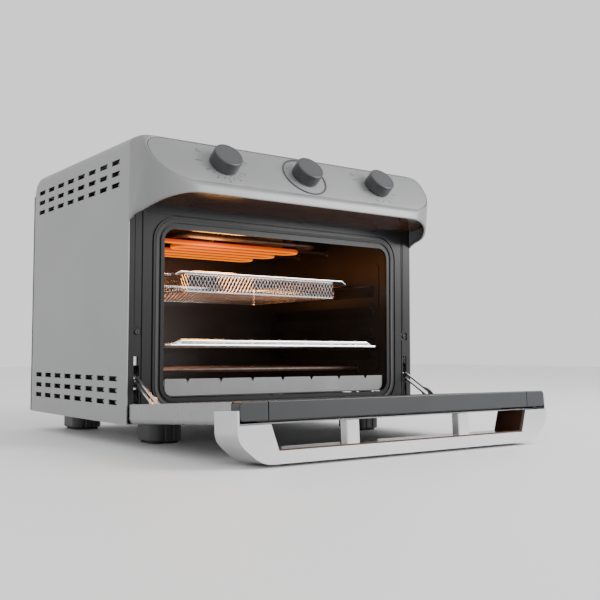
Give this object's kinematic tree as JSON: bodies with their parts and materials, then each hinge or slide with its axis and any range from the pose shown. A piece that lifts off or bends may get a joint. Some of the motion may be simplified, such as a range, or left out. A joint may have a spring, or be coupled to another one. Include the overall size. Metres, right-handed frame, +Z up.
{
  "type": "countertop convection oven",
  "caption": "Countertop convection oven with a drop-down glass door, sloped control hood with knobs, sliding wire rack, air-fry basket and crumb tray.",
  "frame": {"origin": "centre of the whole object's footprint with the door open, on the table top", "axes": "+X to the right seen from the front, +Y from the door to the back, +Z up"},
  "size_m": [0.48, 0.6174, 0.3913],
  "materials": {
    "shell_steel": "silver-grey satin lacquer",
    "cord_rubber": "matt",
    "base_steel": "plain galvanised",
    "foot_plastic": "moulded, satin",
    "sole_rubber": "matt",
    "screw_steel": "zinc plated",
    "black_enamel": "semi-gloss enamel",
    "seal": "woven glass and silicone seal",
    "liner_steel": "aluminised steel, satin",
    "insulation": "glass wool mat",
    "hot_element": "glowing sheathed rod",
    "element_sheath": "heat-browned steel sheath",
    "hanger_steel": "plain",
    "collar_ceramic": "unglazed",
    "motor": "grey lacquer",
    "fan_steel": "pressed",
    "hood_plastic": "fine textured grey",
    "fascia": "fine textured grey",
    "trim_dark": "dark satin trim",
    "soffit": "dark brown gloss",
    "control_plastic": "moulded switch body",
    "knob_plastic": "satin dark grey",
    "hinge_zinc": "bright zinc plate",
    "rack_chrome": "bright chrome wire",
    "basket_chrome": "bright chrome expanded sheet",
    "tray_steel": "satin grey sheet",
    "door_silver": "silver lacquer",
    "door_bar_plastic": "dark satin",
    "hinge_block_steel": "plain steel",
    "glass": "tempered",
    "spacer_steel": "plain"
  },
  "bodies": {
    "case": {"outer_shell": "shell_steel", "back_panel": "shell_steel", "cord_gland": "cord_rubber", "base_plate": "base_steel", "feet": "foot_plastic", "foot_soles": "sole_rubber", "screws": "screw_steel", "front_frame": "black_enamel", "door_gasket": "seal", "cavity_left_wall": "liner_steel", "cavity_right_wall": "liner_steel", "cavity_back_wall": "liner_steel", "cavity_floor": "liner_steel", "cavity_roof": "liner_steel", "roof_insulation": "insulation", "grill_element": "hot_element", "loop_element": "element_sheath", "base_elements": "element_sheath", "element_hangers": "hanger_steel", "element_collars": "collar_ceramic", "fan_motor": "motor", "fan_cover": "liner_steel", "hood": "hood_plastic", "hood_soffit": "soffit", "fascia_panel": "fascia", "fascia_border": "trim_dark", "centre_dial_ring": "trim_dark", "control_plate": "hanger_steel", "thermostat_body": "control_plastic", "selector_body": "control_plastic", "timer_body": "control_plastic", "guide_pins": "screw_steel", "hinge_cage_left": "hinge_zinc", "hinge_cage_right": "hinge_zinc"},
    "fan": {"fan_wheel": "fan_steel", "fan_shaft": "fan_steel"},
    "rack": {"wire_rack": "rack_chrome"},
    "basket": {"basket_mesh": "basket_chrome", "basket_frame": "rack_chrome"},
    "tray": {"crumb_tray": "tray_steel"},
    "left_knob": {"knob_left": "knob_plastic", "knob_left_shaft": "control_plastic"},
    "centre_knob": {"knob_centre": "knob_plastic", "knob_centre_shaft": "control_plastic"},
    "right_knob": {"knob_right": "knob_plastic", "knob_right_shaft": "control_plastic"},
    "door": {"door_skin": "door_silver", "door_hinge_blocks": "hinge_block_steel", "door_inner_frame": "black_enamel", "door_outer_glass": "glass", "door_inner_glass": "glass", "door_glass_spacers": "spacer_steel", "door_bar": "door_bar_plastic", "door_bar_ends": "door_bar_plastic", "handle_band": "door_silver", "handle_lining": "soffit", "handle_posts": "door_silver", "door_pivot_pins": "screw_steel"},
    "left_stay": {"door_stay_left": "hinge_zinc"},
    "right_stay": {"door_stay_right": "hinge_zinc"}
  },
  "joints": [
    {"name": "door_hinge", "type": "hinge", "parent": "case", "child": "door", "pos_m": [0, -0.06183, 0.0425], "axis": [1, 0, 0], "range_deg": [-86.6, 0]},
    {"name": "left_stay_pivot", "type": "hinge", "parent": "door", "child": "left_stay", "pos_m": [-0.2273, -0.10879, 0.05248], "axis": [1, 0, 0], "range_deg": [0, 43.3]},
    {"name": "right_stay_pivot", "type": "hinge", "parent": "door", "child": "right_stay", "pos_m": [0.2273, -0.10879, 0.05248], "axis": [1, 0, 0], "range_deg": [0, 43.3]},
    {"name": "left_knob_turn", "type": "hinge", "parent": "case", "child": "left_knob", "pos_m": [-0.1305, -0.09313, 0.35846], "axis": [0, -0.7923, 0.6101], "range_deg": [-270, 0]},
    {"name": "centre_knob_turn", "type": "hinge", "parent": "case", "child": "centre_knob", "pos_m": [0, -0.09313, 0.35846], "axis": [0, -0.7923, 0.6101], "range_deg": [-180, 0]},
    {"name": "right_knob_turn", "type": "hinge", "parent": "case", "child": "right_knob", "pos_m": [0.1305, -0.09313, 0.35846], "axis": [0, -0.7923, 0.6101], "range_deg": [-300, 0]},
    {"name": "rack_slide", "type": "slide", "parent": "case", "child": "rack", "axis": [0, -1, 0], "range_m": [0, 0.22]},
    {"name": "basket_slide", "type": "slide", "parent": "case", "child": "basket", "axis": [0, -1, 0], "range_m": [0, 0.22]},
    {"name": "tray_slide", "type": "slide", "parent": "case", "child": "tray", "axis": [0, -1, 0], "range_m": [0, 0.16]},
    {"name": "fan_spin", "type": "hinge", "parent": "case", "child": "fan", "pos_m": [0, 0.14067, 0.313], "axis": [0, 0, 1], "continuous": true}
  ],
  "couplings": [
    {"joint": "left_stay_pivot", "follows": "door_hinge", "ratio": -0.5},
    {"joint": "right_stay_pivot", "follows": "door_hinge", "ratio": -0.5}
  ]
}
